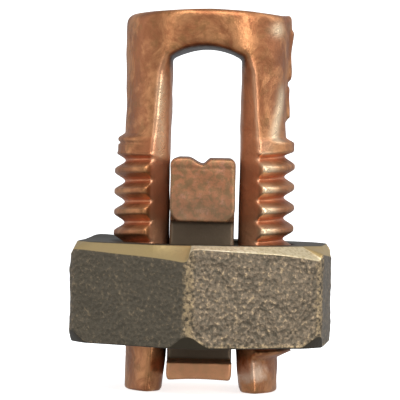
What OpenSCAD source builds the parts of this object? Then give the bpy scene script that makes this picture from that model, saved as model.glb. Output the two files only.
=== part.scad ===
// Split bolt connector: a slotted copper bolt, a pressure bar that rides in the slot, and a hex nut.
// The bolt stands on its leg ends. +Z is the bolt's axis, +X runs across the legs and
// +Y through the slot, the way the wires lie. The origin is on the axis at the leg ends.

/* [Bolt] */
// Overall height, from the leg ends to the top of the bight
bolt_h = 23.4; // [22:0.1:30]
// Diameter of the plain shank
shank_d = 9.95; // [9.6:0.05:10.6]
// Front-to-back depth of the shank and bight, across their flats
bolt_depth = 9.2; // [8.8:0.1:9.8]
// Rise of the crowned top from its edge to its middle
crown_rise = 0.3; // [0.1:0.05:0.6]
// Radius of the top's outer corner
corner_r = 0.55; // [0.2:0.05:1]
// Diameter of the plain leg ends, under the thread
pilot_d = 9.42; // [9:0.02:9.7]
// Height of the plain leg ends
pilot_h = 2.9; // [1.5:0.1:4]
// Chamfer round the leg ends
end_chamfer = 0.25; // [0.1:0.05:0.5]

/* [Slot] */
// Width of the slot between the legs
slot_w = 4.3; // [3.9:0.05:4.8]
// Height of the slot's arch at its middle, above the leg ends
slot_h = 21; // [19.5:0.1:21.6]
// Rise of the arch over its springing
arch_rise = 0.65; // [0.4:0.05:1.2]
// Width of the bevel down each edge of the slot, seen from the front
bevel_w = 1.1; // [0.6:0.05:1.3]
// Slope of that bevel, from the slot's mouth towards its middle
bevel_angle = 53; // [45:1:60]
// Height of the small bevel round the arch's lip
lip_bevel = 0.3; // [0.1:0.05:0.5]
// Depth of the arch's lip bevel, front to back
lip_depth = 0.5; // [0.2:0.05:0.8]
// Widening of the slot on each side at the leg ends
flare_w = 0.38; // [0.1:0.02:0.6]
// Height over which the slot widens
flare_h = 2.7; // [1:0.1:4]

/* [Thread] */
// Major diameter of the thread
thread_d = 11.11; // [10.9:0.01:11.4]
// Pitch of the thread
pitch = 1.27; // [1:0.01:1.5]
// Depth of the thread
thread_depth = 0.68; // [0.5:0.02:0.8]
// Height of the top of the thread above the leg ends
thread_top = 15.7; // [14:0.1:17]
// Width of the flat on each crest, as a share of the pitch
crest_flat = 0.16; // [0.08:0.02:0.25]
// Width of the flat in each root, as a share of the pitch
root_flat = 0.24; // [0.1:0.02:0.3]

/* [Nut] */
// Width across the flats
nut_af = 15.45; // [15:0.05:17]
// Width across the rounded corners
nut_corner_d = 17.3; // [17:0.05:18]
// Height of the nut
nut_h = 6.15; // [5:0.05:7]
// Height of the nut's lower face above the leg ends, as screwed on
nut_z = 2.95; // [2.7:0.05:4]
// Diameter of the flat left inside each turned crown
nut_land_d = 14.2; // [13.4:0.1:14.8]
// Drop of the turned crowns at both ends, from that flat to a corner
nut_drop = 0.9; // [0.5:0.05:1.2]
// Angle that the nut's corner stands at, to the left of the front
nut_phase = 5.5; // [0:0.5:30]
// Running clearance between the nut's bore and the thread
bore_gap = 0.05; // [0.03:0.01:0.1]
// Chamfer at both mouths of the bore
bore_chamfer = 0.35; // [0.1:0.05:0.6]

/* [Pressure bar] */
// Clearance between the bar and each wall of the slot
bar_gap = 0.18; // [0.1:0.01:0.3]
// Sideways lean of the bar within that clearance, positive to the right
bar_shift = -0.07; // [-0.09:0.01:0.09]
// Front-to-back length of the saddle and the foot, past the nut's bore
bar_l = 12; // [11.8:0.1:13]
// Front-to-back length of the neck that runs through the nut
neck_l = 6.4; // [4:0.1:8]
// Height of the saddle that presses on the wires
saddle_h = 3.78; // [3:0.02:4.4]
// Height of the saddle's underside over the nut
saddle_lift = 1.37; // [0.4:0.01:2]
// Height of the foot under the nut
foot_h = 1.08; // [0.8:0.02:1.4]
// Drop of the foot's top below the nut
foot_drop = 0.95; // [0.3:0.01:1.4]
// Radius of the saddle's upper shoulders
shoulder_r = 0.55; // [0.2:0.05:0.9]
// Radius of the saddle's and the foot's lower corners
toe_r = 0.35; // [0.1:0.05:0.5]
// Width of the groove along the saddle's top
groove_w = 1; // [0.6:0.05:1.4]
// Depth of that groove
groove_d = 0.3; // [0.1:0.05:0.5]

/* [Hidden] */
$fn = 96;
cut = 1;                                          // how far a cut runs past what it cuts
shank_r = shank_d / 2;
thread_r = thread_d / 2;
root_r = thread_r - thread_depth;
turns = floor((thread_top - pilot_h) / pitch);    // ridges that fit above the plain leg ends
thread_low = thread_top - turns * pitch;
flank = pitch * (1 - crest_flat - root_flat) / 2; // height of one flank of a ridge
side_top = bolt_h - crown_rise - corner_r;        // where the shank's side ends and its corner begins
crown_edge = shank_r - corner_r;
crown_r = (crown_edge ^ 2 + crown_rise ^ 2) / (2 * crown_rise);
arch_r = ((slot_w / 2) ^ 2 + arch_rise ^ 2) / (2 * arch_rise);
arch_z = slot_h - arch_r;                         // height of the arch's centre
bevel_run = tan(bevel_angle);
bevel_y = sqrt(shank_r ^ 2 - (slot_w / 2 + bevel_w) ^ 2) - bevel_w * bevel_run;
nut_top = nut_z + nut_h;
nut_crown_depth = ((nut_corner_d / 2) ^ 2 - (nut_land_d / 2) ^ 2 + nut_drop ^ 2) / (2 * nut_drop);
nut_crown_r = sqrt((nut_land_d / 2) ^ 2 + nut_crown_depth ^ 2);
bore_r = thread_r + bore_gap;
bar_w = slot_w - 2 * bar_gap;
saddle_z = nut_top + saddle_lift;
foot_top = nut_z - foot_drop;

// The profile of the ridges, from the bottom up, as points of radius and height
function ridges() = [for (i = [0:turns - 1], p = [
    [root_r, 0],
    [root_r, root_flat * pitch],
    [thread_r, root_flat * pitch + flank],
    [thread_r, root_flat * pitch + flank + crest_flat * pitch]
]) [p[0], thread_low + i * pitch + p[1]]];

// A prism along Y, centred, from a flat outline of X and Z
module along_y(length) {
    rotate([90, 0, 0]) linear_extrude(length, center = true) children();
}

module turned_blank() {
    rotate_extrude() polygon(concat(
        [[0, 0], [pilot_d / 2 - end_chamfer, 0], [pilot_d / 2, end_chamfer], [pilot_d / 2, thread_low]],
        ridges(),
        [[root_r, thread_top], [shank_r, thread_top], [shank_r, side_top], [0, side_top]]));
    intersection() {
        translate([0, 0, side_top - cut]) cylinder(r = shank_r, h = bolt_h - side_top + cut);
        union() {
            translate([0, 0, side_top - cut]) cylinder(r = crown_edge, h = bolt_h - side_top + cut);
            translate([0, 0, side_top - cut]) cylinder(r = shank_r, h = cut);
            translate([0, 0, side_top]) rotate_extrude() translate([crown_edge, 0]) circle(corner_r);
        }
        translate([0, 0, bolt_h - crown_r]) sphere(crown_r, $fn = 200);
    }
}

module slot_cut() {
    along_y(2 * thread_d) union() {
        translate([-slot_w / 2, -cut]) square([slot_w, cut + arch_z]);
        intersection() {
            translate([0, arch_z]) circle(arch_r);
            translate([-slot_w / 2, arch_z - cut]) square([slot_w, arch_r + 2 * cut]);
        }
    }
    along_y(2 * thread_d) polygon([
        [-slot_w / 2 - flare_w, -cut], [slot_w / 2 + flare_w, -cut], [slot_w / 2 + flare_w, 0],
        [slot_w / 2, flare_h], [-slot_w / 2, flare_h], [-slot_w / 2 - flare_w, 0]]);
}

// One side's bevels: down both edges of the slot, then round the lip of the arch
module slot_bevel() {
    reach = thread_r + cut;
    far = slot_w / 2 + (reach - bevel_y) / bevel_run;
    intersection() {
        translate([0, 0, -cut]) linear_extrude(slot_h + 2 * cut) polygon([
            [-slot_w / 2, -bevel_y], [slot_w / 2, -bevel_y], [far, -reach], [-far, -reach]]);
        union() {
            translate([-2 * far, -2 * reach, -cut]) cube([4 * far, 4 * reach, arch_z + cut]);
            translate([0, 0, arch_z]) rotate([90, 0, 0])
                cylinder(r = arch_r + lip_bevel, h = 4 * reach, center = true);
        }
    }
    intersection() {
        translate([0, lip_depth - bolt_depth / 2, arch_z]) rotate([90, 0, 0])
            cylinder(r1 = arch_r, r2 = arch_r + 2 * lip_bevel, h = 2 * lip_depth);
        translate([-slot_w / 2, -bolt_depth, arch_z]) cube([slot_w, bolt_depth, 2 * arch_r]);
    }
}

module split_bolt() {
    color([0.72, 0.47, 0.32]) difference() {
        intersection() {
            turned_blank();
            union() {
                translate([-thread_d, -thread_d, -cut])
                    cube([2 * thread_d, 2 * thread_d, thread_top + cut]);
                translate([-thread_d, -bolt_depth / 2, -cut])
                    cube([2 * thread_d, bolt_depth, bolt_h + 2 * cut]);
            }
        }
        slot_cut();
        slot_bevel();
        mirror([0, 1, 0]) slot_bevel();
    }
}

module hex_nut() {
    color([0.52, 0.47, 0.37]) translate([0, 0, nut_z]) difference() {
        intersection() {
            rotate([0, 0, -90 - nut_phase]) cylinder(d = nut_af / cos(30), h = nut_h, $fn = 6);
            cylinder(d = nut_corner_d, h = nut_h);
            translate([0, 0, nut_h - nut_crown_depth]) sphere(nut_crown_r, $fn = 200);
            translate([0, 0, nut_crown_depth]) sphere(nut_crown_r, $fn = 200);
        }
        rotate_extrude() polygon([
            [0, -cut], [bore_r + bore_chamfer + cut, -cut], [bore_r, bore_chamfer],
            [bore_r, nut_h - bore_chamfer], [bore_r + bore_chamfer + cut, nut_h + cut], [0, nut_h + cut]]);
    }
}

// The saddle's outline seen from the front: round shoulders, a groove between them, round toes
module saddle_outline() {
    difference() {
        union() {
            translate([-bar_w / 2, toe_r]) square([bar_w, saddle_h - toe_r - shoulder_r]);
            translate([toe_r - bar_w / 2, 0]) square([bar_w - 2 * toe_r, saddle_h / 2]);
            translate([shoulder_r - bar_w / 2, saddle_h / 2])
                square([bar_w - 2 * shoulder_r, saddle_h / 2]);
            for (side = [-1, 1]) {
                translate([side * (bar_w / 2 - toe_r), toe_r]) circle(toe_r);
                translate([side * (bar_w / 2 - shoulder_r), saddle_h - shoulder_r]) circle(shoulder_r);
            }
        }
        polygon([[0, saddle_h - groove_d], [groove_w, saddle_h + groove_d], [-groove_w, saddle_h + groove_d]]);
    }
}

module foot_outline() {
    union() {
        translate([-bar_w / 2, toe_r]) square([bar_w, foot_h - toe_r]);
        translate([toe_r - bar_w / 2, 0]) square([bar_w - 2 * toe_r, foot_h / 2]);
        for (side = [-1, 1]) translate([side * (bar_w / 2 - toe_r), toe_r]) circle(toe_r);
    }
}

module pressure_bar() {
    color([0.6, 0.42, 0.31]) translate([bar_shift, 0, 0]) {
        translate([0, 0, saddle_z]) along_y(bar_l) saddle_outline();
        translate([-bar_w / 2 + toe_r, -neck_l / 2, foot_top - foot_h / 2])
            cube([bar_w - 2 * toe_r, neck_l, saddle_z - foot_top + foot_h / 2 + saddle_h / 2]);
        translate([0, 0, foot_top - foot_h]) along_y(bar_l) foot_outline();
    }
}

split_bolt();
hex_nut();
pressure_bar();
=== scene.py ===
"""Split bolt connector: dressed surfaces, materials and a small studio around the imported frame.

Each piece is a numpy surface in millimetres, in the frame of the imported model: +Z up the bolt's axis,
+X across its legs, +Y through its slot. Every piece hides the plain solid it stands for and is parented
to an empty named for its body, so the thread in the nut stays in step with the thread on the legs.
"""

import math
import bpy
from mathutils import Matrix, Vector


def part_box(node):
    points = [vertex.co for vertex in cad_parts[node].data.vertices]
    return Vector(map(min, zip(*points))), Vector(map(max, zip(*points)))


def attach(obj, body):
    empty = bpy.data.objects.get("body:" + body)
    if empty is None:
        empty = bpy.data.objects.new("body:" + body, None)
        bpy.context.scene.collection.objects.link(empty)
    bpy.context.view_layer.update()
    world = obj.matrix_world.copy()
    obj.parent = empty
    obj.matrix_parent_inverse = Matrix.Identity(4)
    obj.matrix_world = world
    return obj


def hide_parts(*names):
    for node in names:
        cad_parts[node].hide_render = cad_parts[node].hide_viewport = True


bl_info = {
    "name": "Split Bolt Connector",
    "version": (1, 0, 0),
    "blender": (4, 5, 0),
    "location": "View3D > Sidebar > Split Bolt",
    "description": "Builds a copper split bolt with its bronze nut and pressure bar",
    "category": "Add Mesh",
}

from types import SimpleNamespace

import bpy
import numpy as np
from bpy.props import FloatProperty, FloatVectorProperty, PointerProperty
from mathutils import Matrix, Vector

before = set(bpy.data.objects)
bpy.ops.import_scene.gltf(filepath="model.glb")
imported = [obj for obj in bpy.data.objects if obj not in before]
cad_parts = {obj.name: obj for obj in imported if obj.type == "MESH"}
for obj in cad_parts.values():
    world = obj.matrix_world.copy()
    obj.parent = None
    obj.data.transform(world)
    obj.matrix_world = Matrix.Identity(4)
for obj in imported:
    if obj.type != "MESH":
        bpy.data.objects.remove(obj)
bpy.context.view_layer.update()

MM = 0.001
TAU = 2 * math.pi
FAR = 1e6  # a distance, in mm, that no surface reaches

BOLT_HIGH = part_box("split_bolt")[1]
NUT_LOW, NUT_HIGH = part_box("hex_nut")
BAR_LOW, BAR_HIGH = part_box("pressure_bar")


# ---------------------------------------------------------------- sizes and colours

def size_property(name, description, mm):
    """A length in metres that is given here in millimetres."""
    return FloatProperty(name=name, description=description, default=mm * MM, subtype="DISTANCE",
                         unit="LENGTH", precision=5)


def colour_property(name, description, code):
    """A colour that is given as an sRGB hex value."""
    return FloatVectorProperty(name=name, description=description, subtype="COLOR", size=3, min=0, max=1,
                               default=linear_colour(code))


def linear_colour(code):
    """Turns an sRGB hex value into linear red, green and blue."""
    channels = [int(code[i:i + 2], 16) / 255 for i in (1, 3, 5)]
    return tuple(c / 12.92 if c <= 0.04045 else ((c + 0.055) / 1.055) ** 2.4 for c in channels)


class BoltSettings(bpy.types.PropertyGroup):
    shank_d: size_property("Shank diameter", "Diameter of the plain shank", 9.98)
    depth: size_property("Depth", "Front-to-back depth across the flats of the bight", 9.2)
    height: size_property("Height", "Height from the leg ends to the top", float(BOLT_HIGH.z) / MM)
    crown: size_property("Crown", "Rise of the top from its edge to its middle", 0.42)
    slot_w: size_property("Slot width", "Width of the slot between the legs", 4.3)
    slot_h: size_property("Slot height", "Height of the slot's arch at its middle", 21.0)
    arch_rise: size_property("Arch rise", "Rise of the arch over its springing", 0.65)
    flare: size_property("Flare", "Widening of the slot on each side at the leg ends", 0.38)
    pilot_d: size_property("Leg end diameter", "Diameter of the plain leg ends", 9.42)
    thread_d: size_property("Thread diameter", "Major diameter of the thread", 2 * float(BOLT_HIGH.x) / MM)
    thread_depth: size_property("Thread depth", "Depth of the thread", 0.64)
    leg_step: size_property("Leg step", "How far each leg's thread stands off its true height", 0.07)
    pitch: size_property("Pitch", "Rise of the thread in one turn", 1.27)
    thread_top: size_property("Thread top", "Height at which the thread ends", 15.7)
    bright: colour_property("Bright copper", "Rubbed copper on the shank", "#CB8D5E")
    brown: colour_property("Browned copper", "Oxidised copper between the rubbed places", "#A26641")
    olive: colour_property("Olive stain", "Greenish brown stain on the copper", "#94683F")
    red: colour_property("Red copper", "Red copper in the roots of the thread", "#DC8459")
    pale: colour_property("Rubbed leg", "Pale pink copper where the right leg's end was rubbed", "#F0CDB0")
    # painted highlight: pale gold for highlights on the left leg's inner edge, the right leg's side and
    # crests
    highlight_tint: colour_property("Polished copper", "Golden copper on an edge, a side and the crests", "#FFE0B8")
    # painted light: a lighter copper that brightens the slot's walls and bevels
    painted_bevel_light: colour_property("Milled copper", "Cleaner copper on the slot's walls and bevels", "#EDB48C")
    # painted shade: a dark colour on the underside of the arch
    arch_shade: colour_property("Soot", "Dark oxide under the arch", "#4A3A30")


class NutSettings(bpy.types.PropertyGroup):
    flats: size_property("Across flats", "Width across the flats", 15.45)
    corner_r: size_property("Corner radius", "Radius of the upright corners", 1.0)
    land_d: size_property("Land", "Mean diameter of the flat inside the turned crown", 15.1)
    land_lean: size_property("Land lean", "How far the land is out of round, each way", 0.5)
    foot_land_d: size_property("Lower land", "Diameter outside which the lower corners are cut", 16.64)
    rim_burr: size_property("Rim burr", "Height of the burr on the rear left corner", 0.22)
    phase: FloatProperty(name="Corner angle", description="Angle of the front corner, left of the front",
                         default=math.radians(5.5), subtype="ANGLE")
    gap: size_property("Thread gap", "Clearance between the nut's thread and the bolt's", 0.1)
    cast: colour_property("Cast bronze", "As-cast bronze on the nut's flats", "#7C6C59")
    # partly a duller skin, partly painted shade that darkens the left front flat
    dull: colour_property("Dull flat", "Duller skin of the left front flat", "#60584A")
    # also the colour of the painted highlight along the nut's lower edges
    grain: colour_property("Bright grain", "Bright grains and corners of the casting", "#B39B77")
    dark: colour_property("Dark pits", "Pits between the grains", "#595042")
    turned: colour_property("Turned bronze", "Machined bronze on the crown", "#B99F64")
    # painted highlight: cream on the crown over the right front flat
    crown_highlight: colour_property("Bright crown", "Polished bronze on the crown's right front side", "#F6E8C8")
    land: colour_property("Land", "Dull bronze of the top and bottom faces", "#4B4234")


class BarSettings(bpy.types.PropertyGroup):
    neck_l: size_property("Neck length", "Front-to-back length of the neck in the nut", 6.4)
    shift: size_property("Shift", "How far the bar leans to the left leg", 0.045)
    saddle_h: size_property("Saddle height", "Height of the block over the nut", 3.78)
    foot_h: size_property("Foot height", "Height of the foot under the nut", 1.08)
    groove: size_property("Groove", "Depth of the groove along the saddle's top", 0.4)
    tuck_r: size_property("Corner radius", "Radius of the saddle's lower corners", 0.45)
    copper: colour_property("Dull copper", "Browned copper of the bar", "#B17754")
    stain: colour_property("Brown stain", "Olive brown stain on the bar", "#906D4B")
    rose: colour_property("Rose copper", "Pink bare copper where the bar was rubbed", "#C0876F")
    # painted light: a lighter copper that lifts the shade on the foot under the nut
    foot: colour_property("Rubbed foot", "Cleaner copper on the bar's foot", "#DA9C6F")
    # painted shade in the neck's recess, and darker towards the bottom of the saddle's front
    neck_shade_and_low_dark: colour_property("Grime", "Dark grease and oxide on the neck", "#7B6955")


class StageSettings(bpy.types.PropertyGroup):
    distance: size_property("Camera distance", "Distance from the bolt's axis to the camera", 220)
    eye: size_property("Camera height", "Height of the camera over the floor", 16.2)
    aim_x: size_property("Aim across", "Where the camera looks, across the legs", -0.265)
    aim_z: size_property("Aim height", "Where the camera looks, over the floor", 11.67)
    roll: FloatProperty(name="Camera roll", description="Lean of the camera to its left",
                        default=math.radians(1.27), subtype="ANGLE")
    floor: colour_property("Floor", "Matt white paper under and behind the part", "#F4F4F4")


# ---------------------------------------------------------------- small helpers

def in_mm(settings):
    """The lengths and angles of a settings group by name, with the lengths in millimetres."""
    found = {}
    for key in settings.bl_rna.properties.keys():
        prop = settings.bl_rna.properties[key]
        if prop.type == "FLOAT" and not prop.is_array:
            found[key] = getattr(settings, key) / (MM if prop.unit == "LENGTH" else 1)
    return SimpleNamespace(**found)


def blend(low, high, x):
    """Smooth step: 0 below low, 1 above high, and 3t^2 - 2t^3 between them."""
    t = np.clip((x - low) / (high - low), 0, 1)
    return t * t * (3 - 2 * t)


def soft_min(distances, sharpness=26.0):
    """The power mean (sum of d^-p)^(-1/p), which is the least distance with its corners rounded off."""
    nearest = np.minimum.reduce(distances)
    total = sum((nearest / d) ** sharpness for d in distances)
    return nearest * total ** (-1 / sharpness)


def ripple(points, wavelength, seed, waves=20):
    """Smooth noise of about unit size: a sum of plane sine waves in seeded directions."""
    rng = np.random.default_rng(seed)
    ways = rng.normal(size=(waves, 3))
    ways /= np.linalg.norm(ways, axis=1)[:, None]
    ways *= TAU / (wavelength * rng.uniform(0.7, 1.5, waves))[:, None]
    return np.sin(points @ ways.T + rng.uniform(0, TAU, waves)).sum(-1) * math.sqrt(2 / waves)


def ring_faces(rings, around, closed_path):
    """The quads of a grid of rings whose points wrap round, and whose rings wrap too on a closed path."""
    steps = rings if closed_path else rings - 1
    ring, point = np.meshgrid(np.arange(steps), np.arange(around), indexing="ij")
    next_ring, next_point = (ring + 1) % rings, (point + 1) % around
    corners = [ring * around + point, ring * around + next_point,
               next_ring * around + next_point, next_ring * around + point]
    return np.stack(corners, -1).reshape(-1, 4)


def signed_volume(points, quads):
    """Six times the volume inside the quads: a sum of triple products over their two triangles."""
    a, b, c, d = (points[quads[:, i]] for i in range(4))
    return (a * (np.cross(b, c) + np.cross(c, d))).sum()


def add_piece(name, points, quads, poles, body, material, marks):
    """Makes a closed mesh from points in mm and quads, fans each pole to its ring, and puts it in the frame.

    poles holds (middle point, ring's first index, points in the ring, last ring or not). marks are float
    values on the points, which the material reads by name.
    """
    triangles = []
    for middle, first, around, is_last in poles:
        pole = len(points)
        points = np.vstack([points, middle])
        here = first + np.arange(around)
        there = first + (np.arange(around) + 1) % around
        fan = [here, there, np.full(around, pole)] if is_last else [there, here, np.full(around, pole)]
        triangles.append(np.stack(fan, -1))
        marks = {key: np.append(value, value[here].mean()) for key, value in marks.items()}
    triangles = np.concatenate(triangles) if triangles else np.zeros((0, 3), int)
    if signed_volume(points, quads) < 0:
        quads, triangles = quads[:, ::-1], triangles[:, ::-1]
    mesh = bpy.data.meshes.new(name)
    mesh.from_pydata(points * MM, [], quads.tolist() + triangles.tolist())
    mesh.shade_smooth()
    for key, value in marks.items():
        mesh.attributes.new(key, "FLOAT", "POINT").data.foreach_set("value", value.astype(np.float32))
    mesh.materials.append(material)
    if mesh.validate():
        raise RuntimeError(f"the mesh of {name} is not sound")
    piece = bpy.data.objects.new(name, mesh)
    bpy.context.scene.collection.objects.link(piece)
    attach(piece, body)
    return piece


# ---------------------------------------------------------------- shapes

def thread_radius(theta, z, b, gap=0.0):
    """Radius of the thread at an angle and a height.

    The crest climbs one pitch for each turn, right-hand. Across a pitch the radius falls from a broad
    rounded crest to a narrow root: a third of a straight flank and two thirds of a cosine. gap is added
    for the nut's thread.
    """
    crest_z = 1.235  # height of a crest on the right leg, in the first pitch
    turn = (z - crest_z) / b.pitch - theta / TAU
    off = np.abs(turn - np.round(turn)) * 2
    flank = np.clip((0.96 - off) / (0.96 - 0.16), 0, 1)
    form = flank / 3 + (1 - np.cos(math.pi * flank)) / 3
    return b.thread_d / 2 - b.thread_depth * (1 - form) + gap


def bolt_radius(x, y, z, b):
    """Outer radius of the bolt: plain leg end, thread with a filled run-out, plain shank with its flash."""
    theta = np.arctan2(y, x)
    right = blend(-1, 1, x)
    thread = thread_radius(theta, z + b.leg_step * (2 * right - 1), b)
    # the run-out is filled: a broad collar on the outside, with a shallow nick on the left leg
    run_out_z = 14.3  # height at which the thread starts to fill
    full_z = 14.62
    nick_z = 15.12
    nick_depth = 0.14
    filled = blend(run_out_z, full_z, z - 0.22 * right)
    nick = nick_depth * (1 - right) * np.exp(-((z - nick_z) / 0.075) ** 2)
    flank = blend(0.42, 0.98, x ** 2 / (x ** 2 + y ** 2 + 1e-9))  # 1 on the outside, 0 at the bevels
    collar = b.shank_d / 2 + 0.06 + (0.35 + 0.1 * right - nick) * flank
    threaded = thread + (collar - thread) * filled
    plain = blend(b.thread_top - 0.32, b.thread_top + 0.06, z + 0.1 * right)
    upper = threaded + (b.shank_d / 2 - threaded) * plain
    start = 2.95 - 0.65 * right  # the right leg's first ridge shows under the nut
    radius = b.pilot_d / 2 + (upper - b.pilot_d / 2) * blend(start - 0.15, start + 0.15, z)
    # flash: a low fin down the outside of the right leg, thin at the top and with a nick in it
    fin_w = 0.4
    fin_nick_z = 18.95
    fin_nick = 0.85 * np.exp(-((z - fin_nick_z) / 0.2) ** 2)
    wave = 0.9 + 0.16 * np.sin(z * 2.3 + 0.6)
    fin = (0.1 + 0.14 * (1 - blend(22.0, 22.3, z))) * blend(16.6, 16.9, z)
    fin = fin * (1 - fin_nick) * wave
    return radius + np.where(x > 0, fin * np.exp(-(y / fin_w) ** 2), 0)


def bolt_surface(b):
    """The split bolt as a closed section carried up the left leg, over the bight and down the right leg.

    A section lies in a half-plane that leaves the axis in the direction (cos a, 0, sin a). On a leg it
    is level and climbs; over the bight it fans about a pivot in the slot. Round the section's middle,
    each ray stops at the nearest of the slot's wall, the bevels, the flats, the outer radius and the
    crowned top, with the corners between them rounded by soft_min.
    """
    shank_r = b.shank_d / 2
    arch_r = ((b.slot_w / 2) ** 2 + b.arch_rise ** 2) / (2 * b.arch_rise)
    arch_z = b.slot_h - arch_r
    pivot = 19.2  # height of the point about which the bight's sections fan
    # levels up a leg: close at its rim, wide on its plain end, closest over the thread
    thread_from = 2.7
    thread_to = 15.9
    leg = np.unique(np.concatenate([
        np.linspace(0, 0.3, 7), np.arange(0.3, thread_from, 0.2), np.arange(thread_from, thread_to, 0.07),
        np.linspace(thread_to, pivot, 21)]).round(4))
    fan = np.linspace(math.pi, 0, 142)[1:-1]
    caps = np.array([0.2, 0.45, 0.7, 0.88])  # rings that close a leg's end, as shares of its section
    angle = np.concatenate([np.full(len(leg) + len(caps), math.pi), fan, np.zeros(len(leg) + len(caps))])
    base = np.concatenate([0 * caps, leg, np.full(len(fan), pivot), leg[::-1], 0 * caps])
    shrink = np.concatenate([caps, np.ones(2 * len(leg) + len(fan)), caps[::-1]])
    cos_a = np.cos(angle)[:, None]
    sin_a = np.sin(angle)[:, None].clip(0)
    base = base[:, None]

    # the slot's wall and the outside, measured along the half-plane
    flare = b.flare * (1 - blend(-1.5, 2.7, base))
    over_arch = np.where(base >= arch_z, base - arch_z, 0)
    to_arch = -over_arch * sin_a + np.sqrt(arch_r ** 2 - (over_arch * cos_a) ** 2)
    wall = (b.slot_w / 2 + flare) / np.maximum(np.abs(cos_a), 1e-6)
    inner = soft_min([wall, to_arch], 30)
    edge_top = b.height - b.crown
    rise = np.maximum(edge_top - base, 0.01) / np.maximum(sin_a, 1e-6)
    outer = soft_min([shank_r / np.maximum(np.abs(cos_a), 1e-6), rise], 8)
    middle = (inner + outer) / 2

    # the bevels are wide down the legs, narrow above the thread, and are least round the arch's lip
    leg_bevel_w = 1.1
    lip_bevel_w = 0.3
    outer_y = 3.82  # where a leg's bevel meets the outside, front to back
    lip_y = 4.05
    lip_run = 1.75
    taper_z = 14.5  # height from which they narrow
    lip = 0.4 * np.clip((base - taper_z) / (pivot - taper_z), 0, 1) + 0.6 * blend(0, 0.7, sin_a)
    # above the thread the left leg's are worn to face the front more
    upper_left = blend(2.2, 3.0, angle)[:, None] * blend(13.5, taper_z, base)
    leg_run = 1.34 - 0.4 * upper_left  # how far a bevel runs front to back for each mm across
    leg_y = outer_y - leg_bevel_w * leg_run
    bevel_y = leg_y + (lip_y - leg_y) * lip
    bevel_run = leg_run + (lip_run - leg_run) * lip
    bevel_w = leg_bevel_w + (lip_bevel_w - leg_bevel_w) * lip
    key_wall = np.arctan2(bevel_y, inner - middle)
    key_bevel = np.arctan2(bevel_y + bevel_w * bevel_run, inner + bevel_w - middle)

    # the left shoulder of the bight is well rounded, the right one less
    left_corner = 2.49  # the fan's angle there
    right_corner = 0.65
    near_left = np.exp(-((angle - left_corner) / 0.3) ** 2)
    near_right = np.exp(-((angle - right_corner) / 0.3) ** 2)
    shoulder = (26 - 20 * near_left - 10 * near_right)[:, None]

    # rays round the section, gathered near its corners
    def gather(start, end, count, first):
        share = np.arange(first, count + 1) / count
        share = share - 0.10 * np.sin(share * TAU)
        return start + (end - start) * share
    half = np.concatenate([
        gather(np.zeros_like(key_bevel), key_bevel, 44, 0),
        gather(key_bevel, key_wall, 12, 1),
        gather(key_wall, np.full_like(key_wall, math.pi), 14, 1)], axis=1)
    ray = np.concatenate([half, -half[:, -2:0:-1]], axis=1)
    out = np.cos(ray)
    side = np.sin(ray)

    def limits(radius, top):
        wall_t = np.where(out < -1e-4, (middle - inner) / np.maximum(-out, 1e-4), FAR)
        slope = np.abs(side) - bevel_run * out
        bevel_end = bevel_y + (middle - inner) * bevel_run
        bevel_t = np.where(slope > 1e-4, bevel_end / np.maximum(slope, 1e-4), FAR)
        flat_t = (b.depth / 2) / np.maximum(np.abs(side), 1e-4)
        qa = np.maximum((cos_a * out) ** 2 + side ** 2, 1e-9)
        qb = middle * cos_a ** 2 * out
        qc = (middle * cos_a) ** 2 - radius ** 2
        round_t = (-qb + np.sqrt(np.maximum(qb ** 2 - qa * qc, 1e-9))) / qa
        rise_out = np.where(out > 1e-4, out, 1e-4)
        top_t = ((top - base) / np.maximum(sin_a, 1e-4) - middle) / rise_out
        top_t = np.where((sin_a > 1e-3) & (out > 1e-4), np.maximum(top_t, 1e-3), FAR)
        return [soft_min([wall_t, bevel_t], 14), flat_t, soft_min([round_t, top_t], shoulder)]

    def place(t):
        along = middle + t * out
        return along * cos_a, t * side, base + along * sin_a

    # the radius and the crown depend on where a ray ends, so the ends are found again until they settle
    t = soft_min(limits(shank_r, edge_top))
    for _ in range(5):
        x, y, z = place(t)
        crowned = edge_top + b.crown * (1 - np.clip((x ** 2 + 0.25 * y ** 2) / shank_r ** 2, 0, 1.1))
        # a small horn of metal stands on the top's right edge
        horn = 0.12 * np.exp(-((x - 4.95) / 0.25) ** 2 - (y / 0.5) ** 2)
        t = soft_min(limits(bolt_radius(x, y, z, b), crowned + horn))

    # forging waves and small dents, and the rounded rim of each leg's end
    x, y, z = place(t)
    points = np.stack([x, y, z], -1)
    thread_zone = blend(2.6, 3.2, z) * (1 - blend(15.4, 15.9, z))
    t = t + (0.03 * ripple(points, 4.5, 1) + 0.013 * ripple(points, 1.6, 2)) * (1 - 0.6 * thread_zone)
    rim = 0.16
    short = np.clip(1 - base / rim, 0, 1) * (sin_a < 1e-3)
    t = (t - rim * (1 - np.sqrt(1 - short ** 2))) * shrink[:, None]
    points = np.stack(place(t), -1)

    x, y, z = points[..., 0], points[..., 1], points[..., 2]
    radius = np.hypot(x, y)
    root = b.thread_d / 2 - b.thread_depth
    depth_in = np.clip((b.thread_d / 2 - radius) / b.thread_depth, 0, 1)
    threaded = thread_zone * (radius > root - 0.12)
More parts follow.
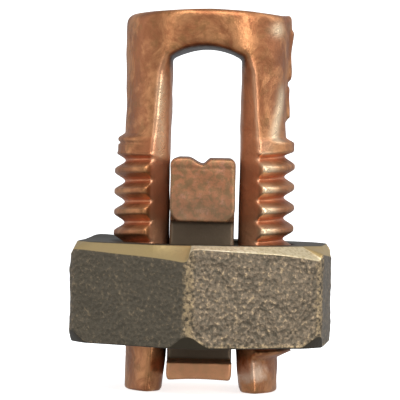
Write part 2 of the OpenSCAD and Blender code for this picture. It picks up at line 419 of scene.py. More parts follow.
    # the right leg's end is rubbed bare; a streak and a spot on its side, its crests and the left leg's
    # inner edge get painted highlights
    round_front = np.degrees(np.arctan2(x, -y))  # 0 at the front, 90 on the right
    leg_end = np.exp(-((z - 1.3) / 0.8) ** 2 - ((round_front - 40) / 26) ** 2)
    streak = np.exp(-((round_front - 58 - 10 * blend(15.6, 18.4, z)) / 6) ** 2)
    streak = streak * blend(15.1, 15.6, z) * (1 - blend(18.0, 19.2, z))
    spot = 0.9 * np.exp(-((round_front - 59) / 8) ** 2 - ((z - 22.2) / 0.4) ** 2)
    inner_edge = np.exp(-((x + 2.66) / 0.26) ** 2) * (y < 0)
    inner_edge = inner_edge * blend(13.9, 14.5, z) * (1 - blend(18.2, 19.6, z))
    glint = np.exp(-((round_front - 43) / 9) ** 2) * threaded * (1 - depth_in) * blend(3, 4, z)
    painted_highlight = np.maximum.reduce([0.9 * streak, spot, inner_edge, 0.9 * glint])
    # painted light brightens the slot's walls and bevels; painted shade darkens the arch's underside
    off_front = np.abs(ray)
    painted_bevel_light = blend(key_bevel - 0.04, key_bevel + 0.02, off_front) * (1 - lip) * blend(2.5, 3.5, z)
    arch_shade = blend(key_wall - 0.12, key_wall, off_front) * blend(0.1, 0.5, sin_a)
    marks = {"root": (depth_in * threaded).ravel(), "thread": threaded.ravel(),
             "rubbed": leg_end.ravel(), "painted_highlight": painted_highlight.ravel(), "painted_bevel_light": painted_bevel_light.ravel(),
             "arch_shade": arch_shade.ravel()}
    rings, around = points.shape[:2]
    left, right = (np.array([[side_x * float(middle[0, 0]), 0, 0]]) for side_x in (-1, 1))
    poles = [(left, 0, around, False), (right, (rings - 1) * around, around, True)]
    return points.reshape(-1, 3), ring_faces(rings, around, False), poles, marks


def hexagon_radius(across, n):
    """Radius of the nut's outline, where across goes from 0 to 1 along each flat.

    On the flat it is the flat's distance over the cosine. Near a corner it is the far side of a circle
    of the corner radius, which touches both flats.
    """
    half = n.flats / 2
    centre = (half - n.corner_r) / math.cos(TAU / 12)
    touch = math.atan2(n.corner_r / 2, centre + n.corner_r * math.cos(TAU / 12))
    from_corner = np.minimum(across, 1 - across) * (TAU / 6)
    flat = half / np.cos(TAU / 12 - from_corner)
    swing = np.minimum(from_corner, touch)
    rounded = centre * np.cos(swing) + np.sqrt(n.corner_r ** 2 - (centre * np.sin(swing)) ** 2)
    return np.where(from_corner < touch, rounded, flat)


def nut_surface(n, b, low, high):
    """The nut as a closed profile carried round the axis.

    The profile is a polyline with rounded corners: bottom face, lower chamfer, flat, turned crown, top
    face, threaded bore. The crown was turned on a leaning blank, so its land is out of round, and on
    each flat the cut starts shallow and ends deep. The lower chamfer only takes off the corners.
    """
    per_flat = 60
    share = np.arange(per_flat) / per_flat
    share = share - 0.14 * np.sin(share * TAU)
    flat_no = np.repeat(np.arange(6), per_flat)
    across = np.tile(share, 6)  # 0 at each flat's left end, 1 at its right end
    theta = (flat_no + across) * (TAU / 6) - math.pi / 2 - n.phase
    radius = hexagon_radius(across, n)
    right_front = flat_no == 0
    left_front = flat_no == 5
    edge = np.minimum(across, 1 - across)
    # the side toward the lamps: its corners are rubbed, and its lower edges get a painted highlight
    rubbed_and_lit_side = blend(-0.1, 0.8, np.cos(theta + math.radians(60)))  # the side that was rubbed
    corner = (1 - blend(0.015, 0.05, edge)) * rubbed_and_lit_side
    # depth of the crown's cut: the flats start shallow and deep by turns
    least_cut = 0.17
    deeper_cut = 0.45
    shallow = np.where(flat_no % 2 == 0, least_cut, deeper_cut)
    drop = shallow + 0.22 * blend(0.02, 0.5, across) + (0.66 - shallow * 0.6) * across ** 5
    # the step from one flat's cut to the next is worn round
    worn_steps = 13
    window = np.hanning(2 * worn_steps + 1)
    wrapped = np.concatenate([drop[-worn_steps:], drop, drop[:worn_steps]])
    drop = np.convolve(wrapped, window / window.sum(), "valid")
    lean = np.cos(2 * (theta - TAU / 12 + n.phase))
    burr_angle = math.radians(144.5)
    burr = np.exp(-((theta - burr_angle) / 0.2) ** 2)
    land = np.minimum(n.land_d / 2 + n.land_lean * lean + 0.6 * burr, radius - 0.3)
    foot_land = np.minimum(n.foot_land_d / 2, radius - 0.08)
    foot_drop = 0.06 + 1.55 * np.maximum(radius - n.foot_land_d / 2, 0)
    bore = b.thread_d / 2 - b.thread_depth + 0.12
    mouth = b.thread_d / 2 + n.gap + 0.12
    flat = np.zeros_like(theta)
    # radius, height, setback of the rounding and steps to the next key
    keys = [
        (flat + mouth, flat + low, 0.15, 10),
        (foot_land, flat + low, 0.05, 6),
        (radius, low + foot_drop, 0.1, 44),
        (radius, high - drop * (1 - 0.5 * burr), 0.12, 12),
        (land, high + n.rim_burr * burr, 0.12, 8),
        (flat + mouth, flat + high, 0.15, 6),
        (flat + bore, flat + high - 0.45, 0.05, 72),
        (flat + bore, flat + low + 0.45, 0.05, 6),
    ]
    profile, kind = rounded_loop(keys)
    r, z = profile[..., 0], profile[..., 1]
    angle = theta[:, None] + 0 * r
    in_bore = (kind >= 5)[None, :] & (r < mouth - 0.01)
    # the nut's own thread follows the bolt's, with a running gap, and is never under its minor radius
    cut = np.maximum(thread_radius(angle, z, b, n.gap), bore)
    r = np.where(in_bore, np.maximum(r, cut), r)
    points = np.stack([r * np.cos(angle), r * np.sin(angle), z], -1)
    inside_flats = 7.3  # a radius between the land and the flats
    cast = (kind == 2)[None, :] & (r > inside_flats)
    lumps = 0.03 * ripple(points, 3.4, 11) + 0.014 * ripple(points, 1.1, 12)
    lumps = lumps + 0.007 * ripple(points, 0.45, 13)
    push = np.where(cast, lumps, 0.006 * ripple(points, 2.0, 14)) * ~in_bore
    points[..., 0] += push * np.cos(angle)
    points[..., 1] += push * np.sin(angle)
    outside_mouth = 5.9  # a radius between the bore's mouth and the land
    crown = (kind == 3)[None, :] & (r > outside_mouth)
    # painted highlight: a light line along the lower edges on the side toward the lamps, joined to the
    # rubbed corners
    lower_edge = np.exp(-((points[..., 2] - low - foot_drop[:, None] - 0.04) / 0.09) ** 2)
    edge_highlight = lower_edge * (rubbed_and_lit_side * ~left_front)[:, None]
    rubbed = np.maximum(corner[:, None], edge_highlight) * cast
    # the left front flat is duller and darker: partly its finer skin, partly painted shade
    dull = 0.8 * left_front * blend(0.0, 0.05, edge)
    # painted highlight: cream on the crown over the right front flat, weaker towards its right end
    crown_highlight = right_front * (1 - 0.4 * blend(0.4, 0.6, across))
    marks = {"cast": cast.astype(float).ravel(), "crown": crown.astype(float).ravel(),
             "corner": rubbed.ravel(), "dull": (dull[:, None] * cast).ravel(),
             "crown_highlight": (crown_highlight[:, None] * crown).ravel()}
    rings, around = points.shape[:2]
    return points.reshape(-1, 3), ring_faces(rings, around, True), [], marks


def bezier(start, corner, end, s):
    """A quadratic Bezier curve: (1 - s)^2 start + 2 s (1 - s) corner + s^2 end."""
    return (1 - s) ** 2 * start + 2 * s * (1 - s) * corner + s ** 2 * end


def rounded_loop(keys):
    """Joins key points into a closed loop with rounded corners, for many stations at once.

    Each key is (r, z, setback, steps to the next key). A corner is a quadratic Bezier curve between the
    two points one setback away from the key, and the stretch between two corners is straight.
    """
    corner = np.stack([np.stack([r, z], -1) for r, z, _, _ in keys], 1)
    following = np.roll(corner, -1, axis=1)
    length = np.linalg.norm(following - corner, axis=-1, keepdims=True)
    way = (following - corner) / np.maximum(length, 1e-9)
    parts, kinds = [], []
    for k, (_, _, setback, steps) in enumerate(keys):
        before = k - 1
        reach_in = np.minimum(setback, length[:, before] / 2.2)
        reach_out = np.minimum(setback, length[:, k] / 2.2)
        start = corner[:, k] - way[:, before] * reach_in
        end = corner[:, k] + way[:, k] * reach_out
        s = np.linspace(0, 1, 5)[None, :, None]
        parts.append(bezier(start[:, None], corner[:, k][:, None], end[:, None], s))
        kinds += [before % len(keys)] * 2 + [k] * 3
        next_setback = keys[(k + 1) % len(keys)][2]
        stop = following[:, k] - way[:, k] * np.minimum(next_setback, length[:, k] / 2.2)
        s = (np.arange(1, steps) / steps)[None, :, None]
        parts.append(end[:, None] * (1 - s) + stop[:, None] * s)
        kinds += [k] * (steps - 1)
    return np.concatenate(parts, axis=1), np.array(kinds)


def box_skin(across, along, up):
    """The skin of a cube from -1 to 1 as a grid: points and quads, with the faces' shared edges merged."""
    a, l, u = (np.linspace(-1, 1, count + 1) for count in (across, along, up))
    points, quads = [], []
    for axis, first, second in ((0, l, u), (1, a, u), (2, a, l)):
        for end in (-1, 1):
            p, q = np.meshgrid(first, second, indexing="ij")
            face = np.insert(np.stack([p.ravel(), q.ravel()], -1), axis, end, axis=1)
            grid = np.arange(p.size).reshape(p.shape) + sum(len(x) for x in points)
            corners = [grid[:-1, :-1], grid[1:, :-1], grid[1:, 1:], grid[:-1, 1:]]
            quad = np.stack([c.ravel() for c in corners], -1)
            flip = (end > 0) == (axis == 1)
            quads.append(quad[:, ::-1] if flip else quad)
            points.append(face)
    points, quads = np.concatenate(points), np.concatenate(quads)
    places = (points * 1e6).round().astype(int)
    _, keep, same = np.unique(places, axis=0, return_index=True, return_inverse=True)
    return points[keep], same.ravel()[quads]


def bar_surface(s, low, high):
    """The pressure bar as the skin of a cube, drawn out to a foot, a neck and a saddle.

    Up the cube's sides the half width and half length follow a polyline with rounded corners. In plan
    each level is a rectangle with round corners. A tuck rounds the lower corners of the saddle, clear of
    the neck, and the saddle's top dips in a groove between a round hump and a flat one.
    """
    half_w = (high.x - low.x) / 2 / MM
    half_l = (high.y - low.y) / 2 / MM
    lean = (high.x + low.x) / 2 / MM - s.shift
    foot_z, top_z = low.z / MM, high.z / MM
    foot_top = foot_z + s.foot_h
    saddle_z = top_z - s.saddle_h
    neck = s.neck_l / 2
    # half width, half length, height, tuck and rounding, up the side
    keys = np.array([
        [half_w - 0.3, half_l - 0.3, foot_z, 0.1, 0.0],
        [half_w, half_l, foot_z, 0.1, 0.13],
        [half_w, half_l, foot_z + 0.3, 0.0, 0.2],
        [half_w, half_l, foot_top, 0.0, 0.13],
        [half_w, neck, foot_top, 0.0, 0.25],
        [half_w, neck, saddle_z, 0.0, 0.3],
        [half_w, half_l, saddle_z, s.tuck_r, 0.16],
        [half_w, half_l, saddle_z + s.tuck_r, 0.0, 0.4],
        [half_w, half_l, top_z, 0.0, 0.34],
        [half_w - 0.4, half_l - 0.4, top_z, 0.0, 0.0]])
    side = rounded_path(keys, [4, 4, 8, 18, 36, 22, 8, 30, 5])
    skin, quads = box_skin(48, 96, len(side) - 1)
    level = (skin[:, 2] + 1) / 2 * (len(side) - 1)
    wide, long, z, tuck = (np.interp(level, np.arange(len(side)), side[:, i]) for i in range(4))
    y = skin[:, 1] * long
    wide = wide - tuck * blend(neck + 0.1, neck + 0.7, np.abs(y))
    x = skin[:, 0] * wide
    # a square corner becomes a round one: (dx, dy) is pushed out to the circle of its larger part
    corner_r = 0.22
    dx = x - np.clip(x, corner_r - wide, wide - corner_r)
    dy = y - np.clip(y, corner_r - long, long - corner_r)
    reach = np.maximum(np.hypot(dx, dy), 1e-9)
    scale = np.maximum(np.abs(dx), np.abs(dy)) / reach
    x, y = x - dx + dx * scale, y - dy + dy * scale
    # the saddle's top: a long slope from the left hump to the groove, a short one up to the right
    left_slope = 1 - blend(-0.02, 0.95, -x)
    right_slope = 1 - blend(-0.02, 0.5, x)
    groove = -s.groove * np.where(x < 0, left_slope, right_slope) - 0.05 * blend(0, 0.5, x) + 0.05
    shoulders = -0.14 * blend(half_w - 0.55, half_w, -x) - 0.1 * blend(half_w - 0.3, half_w, x)
    z = z + (groove + shoulders) * blend(saddle_z + 2.2, top_z, z)
    # the foot's underside is hollow from side to side
    z = z + 0.09 * (1 - (x / half_w) ** 2) * (1 - blend(foot_z, foot_z + 0.7, z))
    points = np.stack([x + lean, y, z], -1)
    # the ends are dented, and a lip stands over a faint line under the saddle's top
    dents = 0.022 * ripple(points, 2.6, 21) + 0.01 * ripple(points, 0.9, 22) - 0.03
    line_z = top_z - 0.55
    line = -0.025 * np.exp(-((z - line_z) / 0.06) ** 2) + 0.015 * blend(line_z, top_z - 0.4, z)
    points[:, 1] += np.sign(y) * blend(half_l - 1.2, half_l - 0.2, np.abs(y)) * (dents + line)
    points[:, 0] += 0.3 * np.sign(x) * blend(half_w - 0.5, half_w - 0.1, np.abs(x)) * dents
    # painted shade on the neck in its recess, and the saddle's front darker towards its bottom
    on_neck = blend(foot_top + 0.02, foot_top + 0.1, z) * (1 - blend(saddle_z - 0.1, saddle_z, z))
    low_face = 0.35 * (1 - blend(saddle_z + 0.4, saddle_z + 2.6, z)) * (z > saddle_z - 0.1)
    marks = {"neck_shade_and_low_dark": np.maximum(on_neck, low_face), "foot": (z < foot_top - 0.05).astype(float)}
    return points, quads, [], marks


def rounded_path(keys, steps):
    """A polyline through keys whose last value is their rounding. Each corner is a Bezier curve."""
    corner, rounding = keys[:, :-1], keys[:, -1]
    out = [corner[:1]]
    for k in range(len(keys) - 1):
        span = corner[k + 1] - corner[k]
        size = max(float(np.abs(span).max()), 1e-9)
        start = corner[k] + span * min(rounding[k] / size, 0.45)
        stop = corner[k + 1] - span * min(rounding[k + 1] / size, 0.45)
        s = (np.arange(1, steps[k] + 1) / steps[k])[:, None]
        out.append(start + (stop - start) * s)
        if k + 2 < len(keys):
            after = corner[k + 2] - corner[k + 1]
            size = max(float(np.abs(after).max()), 1e-9)
            end = corner[k + 1] + after * min(rounding[k + 1] / size, 0.45)
            s = (np.arange(1, 7) / 6)[:, None]
            out.append(bezier(stop, corner[k + 1], end, s))
    return np.concatenate(out)


# ---------------------------------------------------------------- materials

def add_node(tree, kind, inputs=None, **settings):
    """Adds one node, sets its settings, and sets or links its inputs."""
    node = tree.nodes.new(kind)
    for key, value in settings.items():
        setattr(node, key, value)
    for key, value in (inputs or {}).items():
        if isinstance(value, bpy.types.NodeSocket):
            tree.links.new(value, node.inputs[key])
        else:
            node.inputs[key].default_value = value
    return node


def start_material(name):
    """An empty material with its shader, and its Object coordinates in metres."""
    material = bpy.data.materials.new(name)
    material.use_nodes = True
    tree = material.node_tree
    tree.nodes.clear()
    shader = add_node(tree, "ShaderNodeBsdfPrincipled")
    add_node(tree, "ShaderNodeOutputMaterial", {"Surface": shader.outputs["BSDF"]})
    place = add_node(tree, "ShaderNodeTexCoord").outputs["Object"]
    return material, tree, shader, place


def colour4(colour):
    return (*colour, 1.0)


def per_metre(mm):
    """Scale of a noise whose cells are that many millimetres wide."""
    return 1 / (mm * MM)


def finish_material(tree, shader, colour, rough, normal, metallic):
    """Links the colour, roughness and normal to the shader, and sets how metallic it is."""
    for key, value in (("Base Color", colour), ("Roughness", rough), ("Normal", normal)):
        tree.links.new(value, shader.inputs[key])
    shader.inputs["Metallic"].default_value = metallic


def copper_material(s):
    """Copper bar, cold-headed and thread-rolled, then browned in the hand and in store.

    Gives a satin metal in patches: rubbed orange, brown oxide and olive stain, with red in the roots of
    the thread and brown on its crests, painted light on the slot's walls and bevels, painted shade under
    the arch, a pale rubbed place at the end of the right leg, and painted golden highlights on an inner
    edge, a side and the right leg's crests.
    """
    material, tree, shader, place = start_material("copper_headed_and_browned")
    root, thread, rubbed, painted_highlight, painted_bevel_light, arch_shade = (
        add_node(tree, "ShaderNodeAttribute", attribute_name=name).outputs["Fac"]
        for name in ("root", "thread", "rubbed", "painted_highlight", "painted_bevel_light", "arch_shade"))
    patches = add_node(tree, "ShaderNodeTexNoise", {
        "Vector": place, "Scale": per_metre(1.9), "Detail": 5.0, "Roughness": 0.62,
        "Distortion": 0.6}).outputs["Fac"]
    stains = add_node(tree, "ShaderNodeTexNoise", {
        "Vector": place, "Scale": per_metre(0.9), "Detail": 5.0, "Roughness": 0.7,
        "Distortion": 0.2}).outputs["Fac"]
    fine = add_node(tree, "ShaderNodeTexNoise", {
        "Vector": place, "Scale": per_metre(0.3), "Detail": 4.0, "Roughness": 0.6}).outputs["Fac"]

    # the skin: rubbed copper between browned patches, with stains, and dirt on the thread's crests
    bare = add_node(tree, "ShaderNodeMapRange", {
        "Value": patches, "From Min": 0.42, "From Max": 0.62},
        interpolation_type="SMOOTHSTEP").outputs["Result"]
    copper = add_node(tree, "ShaderNodeMix", {
        "Factor": bare, "A": colour4(s.brown), "B": colour4(s.bright)},
        data_type="RGBA").outputs["Result"]
    stained = add_node(tree, "ShaderNodeMapRange", {
        "Value": stains, "From Min": 0.5, "From Max": 0.66, "To Max": 0.6},
        interpolation_type="SMOOTHSTEP").outputs["Result"]
    crest = add_node(tree, "ShaderNodeMath", {0: thread, 1: root}, operation="SUBTRACT").outputs["Value"]
    dirt = add_node(tree, "ShaderNodeMath", {0: crest, 1: 0.15, 2: stained},
                    operation="MULTIPLY_ADD", use_clamp=True).outputs["Value"]
    olive = add_node(tree, "ShaderNodeMix", {
        "Factor": dirt, "A": copper, "B": colour4(s.olive)}, data_type="RGBA").outputs["Result"]

    # the thread's roots are red, and the right leg's end is rubbed pale
    deep = add_node(tree, "ShaderNodeMapRange", {
        "Value": root, "From Min": 0.55, "From Max": 0.95, "To Max": 0.55},
        interpolation_type="SMOOTHSTEP").outputs["Result"]
    red = add_node(tree, "ShaderNodeMix", {
        "Factor": deep, "A": olive, "B": colour4(s.red)}, data_type="RGBA").outputs["Result"]
    spread = add_node(tree, "ShaderNodeMath", {0: stains, 1: rubbed}, operation="MULTIPLY").outputs["Value"]
    worn = add_node(tree, "ShaderNodeMapRange", {
        "Value": spread, "From Min": 0.2, "From Max": 0.42, "To Max": 0.9}).outputs["Result"]
    paled = add_node(tree, "ShaderNodeMix", {
        "Factor": worn, "A": red, "B": colour4(s.pale)}, data_type="RGBA").outputs["Result"]

    # painted light on the slot's walls and bevels, painted shade under the arch, and the painted highlights
    bevel_light_share = add_node(tree, "ShaderNodeMath", {0: painted_bevel_light, 1: 0.8}, operation="MULTIPLY").outputs["Value"]
    cut = add_node(tree, "ShaderNodeMix", {
        "Factor": bevel_light_share, "A": paled, "B": colour4(s.painted_bevel_light)}, data_type="RGBA").outputs["Result"]
    arch_shaded = add_node(tree, "ShaderNodeMix", {
        "Factor": arch_shade, "A": cut, "B": colour4(s.arch_shade)}, data_type="RGBA").outputs["Result"]
    colour = add_node(tree, "ShaderNodeMix", {
        "Factor": painted_highlight, "A": arch_shaded, "B": colour4(s.highlight_tint)}, data_type="RGBA").outputs["Result"]

    # satin, smoother under the painted highlights, with broad lumps and a fine grain
    satin = add_node(tree, "ShaderNodeMapRange", {
        "Value": fine, "From Min": 0.3, "From Max": 0.7, "To Min": 0.34, "To Max": 0.5}).outputs["Result"]
    rough = add_node(tree, "ShaderNodeMath", {0: painted_highlight, 1: -0.14, 2: satin},
                     operation="MULTIPLY_ADD").outputs["Value"]
    lumps = add_node(tree, "ShaderNodeBump", {
        "Height": patches, "Strength": 0.4, "Distance": 0.2 * MM}).outputs["Normal"]
    grain = add_node(tree, "ShaderNodeBump", {
        "Height": fine, "Strength": 0.4, "Distance": 0.05 * MM, "Normal": lumps}).outputs["Normal"]
    finish_material(tree, shader, colour, rough, grain, 0.8)
    return material


def bronze_material(s):
    """Bronze nut, sand-cast, with its crown turned on a lathe.

    Gives grey-brown gritty flats with bright grains, the left front one duller and darkened by painted
    shade, speckled rubbed corners with a painted highlight along the lower edges on the side toward the
    lamps, a smooth yellow crown with a painted cream highlight over the right front flat, and dark end
    faces.
    """
    material, tree, shader, place = start_material("bronze_sand_cast_and_turned")
    cast, crown, corner, dull, crown_highlight = (
        add_node(tree, "ShaderNodeAttribute", attribute_name=name).outputs["Fac"]
        for name in ("cast", "crown", "corner", "dull", "crown_highlight"))
    grit = add_node(tree, "ShaderNodeTexNoise", {
        "Vector": place, "Scale": per_metre(0.22), "Detail": 3.0, "Roughness": 0.6}).outputs["Fac"]
    cloud = add_node(tree, "ShaderNodeTexNoise", {
        "Vector": place, "Scale": per_metre(2.4), "Detail": 4.0}).outputs["Fac"]
    cells = add_node(tree, "ShaderNodeTexVoronoi", {
        "Vector": place, "Scale": per_metre(0.3)}, feature="F1").outputs["Distance"]

    # the cast flats: pits between the grains, the left front duller and in painted shade, with bright
    # grains, rubbed corners and a painted highlight on the lower edges
    pits = add_node(tree, "ShaderNodeMapRange", {
        "Value": grit, "From Min": 0.38, "From Max": 0.62}).outputs["Result"]
    pitted = add_node(tree, "ShaderNodeMix", {
        "Factor": pits, "A": colour4(s.dark), "B": colour4(s.cast)}, data_type="RGBA").outputs["Result"]
    skin = add_node(tree, "ShaderNodeMix", {
        "Factor": dull, "A": pitted, "B": colour4(s.dull)}, data_type="RGBA").outputs["Result"]
    shown = add_node(tree, "ShaderNodeMapRange", {
        "Value": dull, "To Min": 0.85, "To Max": 0.25}).outputs["Result"]
    shine = add_node(tree, "ShaderNodeMapRange", {
        "Value": grit, "From Min": 0.58, "From Max": 0.7, "To Max": shown}).outputs["Result"]
    worn = add_node(tree, "ShaderNodeMath", {0: corner, 1: pits, 2: shine},
                    operation="MULTIPLY_ADD", use_clamp=True).outputs["Value"]
    grained = add_node(tree, "ShaderNodeMix", {
        "Factor": worn, "A": skin, "B": colour4(s.grain)}, data_type="RGBA").outputs["Result"]

    # the turned crown with a painted cream highlight over the right front flat, and the dark end faces
    turned = add_node(tree, "ShaderNodeMix", {
        "Factor": cloud, "A": colour4(s.turned), "B": colour4(s.grain)},
        data_type="RGBA").outputs["Result"]
    broken = add_node(tree, "ShaderNodeMapRange", {
        "Value": grit, "From Min": 0.4, "From Max": 0.55, "To Min": 0.5}).outputs["Result"]
    lit = add_node(tree, "ShaderNodeMath", {0: crown_highlight, 1: broken}, operation="MULTIPLY").outputs["Value"]
    smooth = add_node(tree, "ShaderNodeMix", {
        "Factor": lit, "A": turned, "B": colour4(s.crown_highlight)}, data_type="RGBA").outputs["Result"]
    faces = add_node(tree, "ShaderNodeMix", {
        "Factor": crown, "A": colour4(s.land), "B": smooth}, data_type="RGBA").outputs["Result"]
    colour = add_node(tree, "ShaderNodeMix", {
        "Factor": cast, "A": faces, "B": grained}, data_type="RGBA").outputs["Result"]

    # coarse grains stand up from the cast skin, and the turned faces are nearly smooth
    rough = add_node(tree, "ShaderNodeMapRange", {
        "Value": cast, "To Min": 0.5, "To Max": 0.48}).outputs["Result"]
    strength = add_node(tree, "ShaderNodeMapRange", {
        "Value": cast, "To Min": 0.12, "To Max": 0.45}).outputs["Result"]
    height = add_node(tree, "ShaderNodeMath", {0: cells, 1: 1.2, 2: grit},
                      operation="MULTIPLY_ADD").outputs["Value"]
    relief = add_node(tree, "ShaderNodeBump", {
        "Height": height, "Distance": 0.1 * MM, "Strength": strength}).outputs["Normal"]
    finish_material(tree, shader, colour, rough, relief, 0.75)
    return material


def bar_material(s):
    """Copper bar, pressed to shape and left dull.

    Gives a browned matt metal with rose and olive patches, painted shade on the neck, a saddle front
    darker towards its bottom, and painted light that lightens the foot.
    """
    material, tree, shader, place = start_material("copper_pressed_and_dull")
    neck_shade_and_low_dark, foot = (add_node(tree, "ShaderNodeAttribute", attribute_name=name).outputs["Fac"]
                   for name in ("neck_shade_and_low_dark", "foot"))
    patches = add_node(tree, "ShaderNodeTexNoise", {
        "Vector": place, "Scale": per_metre(0.5), "Detail": 6.0, "Roughness": 0.7,
        "Distortion": 0.2}).outputs["Fac"]
    spots = add_node(tree, "ShaderNodeTexNoise", {
        "Vector": place, "Scale": per_metre(0.45), "Detail": 4.0, "Roughness": 0.7}).outputs["Fac"]

    # stained and pink patches, then painted light on the foot, and painted shade on the neck with the
    # saddle's front darker towards its bottom
    brown = add_node(tree, "ShaderNodeMapRange", {
        "Value": patches, "From Min": 0.42, "From Max": 0.58},
        interpolation_type="SMOOTHSTEP").outputs["Result"]
    base = add_node(tree, "ShaderNodeMix", {
        "Factor": brown, "A": colour4(s.copper), "B": colour4(s.stain)},
        data_type="RGBA").outputs["Result"]
    pink = add_node(tree, "ShaderNodeMapRange", {
        "Value": spots, "From Min": 0.54, "From Max": 0.7, "To Max": 0.7}).outputs["Result"]
    clean = add_node(tree, "ShaderNodeMix", {
        "Factor": pink, "A": base, "B": colour4(s.rose)}, data_type="RGBA").outputs["Result"]
    # painted light: the foot is lightened to lift the shade under the nut
    half = add_node(tree, "ShaderNodeMath", {0: foot, 1: 0.65}, operation="MULTIPLY").outputs["Value"]
    lower = add_node(tree, "ShaderNodeMix", {
        "Factor": half, "A": clean, "B": colour4(s.foot)}, data_type="RGBA").outputs["Result"]
    colour = add_node(tree, "ShaderNodeMix", {
        "Factor": neck_shade_and_low_dark, "A": lower, "B": colour4(s.neck_shade_and_low_dark)}, data_type="RGBA").outputs["Result"]

    rough = add_node(tree, "ShaderNodeMapRange", {
        "Value": spots, "From Min": 0.3, "From Max": 0.7, "To Min": 0.42, "To Max": 0.58}).outputs["Result"]
    relief = add_node(tree, "ShaderNodeBump", {
        "Height": spots, "Strength": 0.4, "Distance": 0.05 * MM}).outputs["Normal"]
    finish_material(tree, shader, colour, rough, relief, 0.7)
    return material


def paper_material(s):
    """Matt white background paper, which gives a plain pale floor that runs up behind the part."""
    material, _, shader, _ = start_material("paper_matt_white")
    shader.inputs["Base Color"].default_value = colour4(s.floor)
    shader.inputs["Roughness"].default_value = 0.9
    shader.inputs["Emission Color"].default_value = (1, 1, 1, 1)
    shader.inputs["Emission Strength"].default_value = 0.8
    return material


# ---------------------------------------------------------------- operators

class SPLITBOLT_OT_bolt(bpy.types.Operator):
    """Add the slotted copper bolt"""

    bl_idname = "splitbolt.bolt"
    bl_label = "Split Bolt"

    def execute(self, context):
        settings = context.scene.split_bolt
        points, quads, poles, marks = bolt_surface(in_mm(settings))
        piece = add_piece("bolt_body", points, quads, poles, "bolt",
                          copper_material(settings), marks)
        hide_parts("split_bolt")
        return {"FINISHED"}


class SPLITBOLT_OT_nut(bpy.types.Operator):
    """Add the cast hexagonal nut with its turned crowns and inner thread"""

    bl_idname = "splitbolt.nut"
    bl_label = "Hex Nut"

    def execute(self, context):
        scene = context.scene
        points, quads, poles, marks = nut_surface(
            in_mm(scene.split_nut), in_mm(scene.split_bolt), NUT_LOW.z / MM, NUT_HIGH.z / MM)
        piece = add_piece("nut_body", points, quads, poles, "nut",
                          bronze_material(scene.split_nut), marks)
        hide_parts("hex_nut")
        return {"FINISHED"}


class SPLITBOLT_OT_bar(bpy.types.Operator):
    """Add the pressure bar that rides in the slot and is trapped in the nut"""

    bl_idname = "splitbolt.bar"
    bl_label = "Pressure Bar"

    def execute(self, context):
        settings = context.scene.split_bar
        points, quads, poles, marks = bar_surface(in_mm(settings), BAR_LOW, BAR_HIGH)
        piece = add_piece("bar_body", points, quads, poles, "bar",
                          bar_material(settings), marks)
        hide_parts("pressure_bar")
        return {"FINISHED"}


def add_softbox(name, place, aim, width, height, power):
    """A rectangular area light at a place in mm, turned to face the aim point."""
    lamp = bpy.data.lights.new(name, "AREA")
    lamp.shape = "RECTANGLE"
    lamp.size, lamp.size_y = width * MM, height * MM
    lamp.energy = power
    box = bpy.data.objects.new(name, lamp)
    box.location = Vector(place) * MM
    box.rotation_euler = ((Vector(aim) - Vector(place)).to_track_quat("-Z", "Y")).to_euler()
    bpy.context.scene.collection.objects.link(box)
    return box


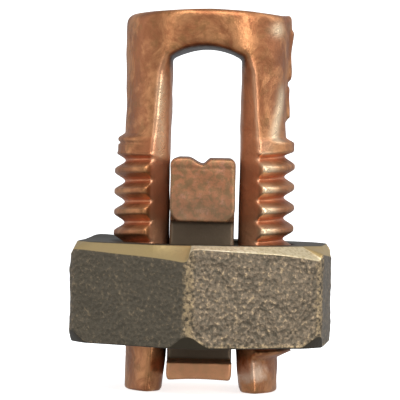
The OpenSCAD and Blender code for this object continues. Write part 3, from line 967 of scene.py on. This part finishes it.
class SPLITBOLT_OT_stage(bpy.types.Operator):
    """Add the paper floor, the softboxes and the camera"""

    bl_idname = "splitbolt.stage"
    bl_label = "Stage"

    def execute(self, context):
        settings = context.scene.split_stage
        s = in_mm(settings)
        scene = context.scene
        scene.view_settings.view_transform = "Standard"

        # paper: level in front, then a quarter circle up to an upright sweep behind
        run = 900  # how far the paper reaches forward, to each side and up
        bend = 150
        back = 260
        hair = 0.01  # it lies this far under the part
        quarter = np.linspace(0, math.pi / 2, 25)
        y = np.concatenate([[-run], back + bend * np.sin(quarter), [back + bend]])
        z = np.concatenate([[0], bend - bend * np.cos(quarter), [run]])
        x = np.array([-run, run])
        grid_x, grid_i = np.meshgrid(x, np.arange(len(y)), indexing="ij")
        points = np.stack([grid_x, y[grid_i], z[grid_i] - hair], -1).reshape(-1, 3)
        count = len(y)
        i = np.arange(count - 1)
        faces = np.stack([i, i + count, i + count + 1, i + 1], -1)
        mesh = bpy.data.meshes.new("paper_floor")
        mesh.from_pydata(points * MM, [], faces.tolist())
        mesh.shade_smooth()
        mesh.materials.append(paper_material(settings))
        floor = bpy.data.objects.new("paper_floor", mesh)
        # the paper is seen but throws no light up, so the part's undersides stay dark
        floor.visible_glossy = False
        floor.visible_diffuse = False
        scene.collection.objects.link(floor)

        world = bpy.data.worlds.new("studio_air")
        world.use_nodes = True
        air = world.node_tree.nodes["Background"]
        air.inputs["Color"].default_value = (0.9, 0.95, 1.0, 1)
        air.inputs["Strength"].default_value = 0.48
        scene.world = world

        # place, aim, width and height in mm, and power in watts
        middle = (0, 0, 12)
        add_softbox("softbox_right", (270, 75, 150), middle, 80, 300, 0.19)
        add_softbox("softbox_left", (-290, 60, 60), middle, 160, 240, 0.11)
        add_softbox("softbox_top", (40, -190, 260), middle, 260, 200, 0.75)
        add_softbox("softbox_front_right", (230, -200, 60), middle, 140, 200, 0.42)
        add_softbox("softbox_front_left", (-190, -230, 60), middle, 100, 200, 0.13)

        camera = bpy.data.objects.new("camera", bpy.data.cameras.new("camera"))
        camera.data.lens = 320.8
        camera.data.clip_start = 0.01
        camera.data.clip_end = 10
        place = Vector((s.aim_x, -s.distance, s.eye)) * MM
        aim = Vector((s.aim_x, 0, s.aim_z)) * MM
        turn = (aim - place).to_track_quat("-Z", "Y").to_matrix().to_4x4()
        camera.matrix_world = Matrix.Translation(place) @ turn @ Matrix.Rotation(s.roll, 4, "Z")
        scene.collection.objects.link(camera)
        scene.camera = camera
        return {"FINISHED"}


class SPLITBOLT_PT_panel(bpy.types.Panel):
    """Buttons and sizes for the split bolt connector"""

    bl_idname = "SPLITBOLT_PT_panel"
    bl_label = "Split Bolt Connector"
    bl_space_type = "VIEW_3D"
    bl_region_type = "UI"
    bl_category = "Split Bolt"

    def draw(self, context):
        groups = (
            (SPLITBOLT_OT_bolt, context.scene.split_bolt),
            (SPLITBOLT_OT_nut, context.scene.split_nut),
            (SPLITBOLT_OT_bar, context.scene.split_bar),
            (SPLITBOLT_OT_stage, context.scene.split_stage))
        for operator, settings in groups:
            box = self.layout.box()
            box.operator(operator.bl_idname)
            for key in settings.__annotations__:
                box.prop(settings, key)


CLASSES = (BoltSettings, NutSettings, BarSettings, StageSettings, SPLITBOLT_OT_bolt, SPLITBOLT_OT_nut,
           SPLITBOLT_OT_bar, SPLITBOLT_OT_stage, SPLITBOLT_PT_panel)
GROUPS = {"split_bolt": BoltSettings, "split_nut": NutSettings, "split_bar": BarSettings,
          "split_stage": StageSettings}


def register():
    for cls in CLASSES:
        bpy.utils.register_class(cls)
    for name, group in GROUPS.items():
        setattr(bpy.types.Scene, name, PointerProperty(type=group))


def unregister():
    for name in GROUPS:
        delattr(bpy.types.Scene, name)
    for cls in reversed(CLASSES):
        bpy.utils.unregister_class(cls)


def main():
    register()
    bpy.ops.splitbolt.stage()
    bpy.ops.splitbolt.bolt()
    bpy.ops.splitbolt.nut()
    bpy.ops.splitbolt.bar()


if __name__ == "__main__":
    main()
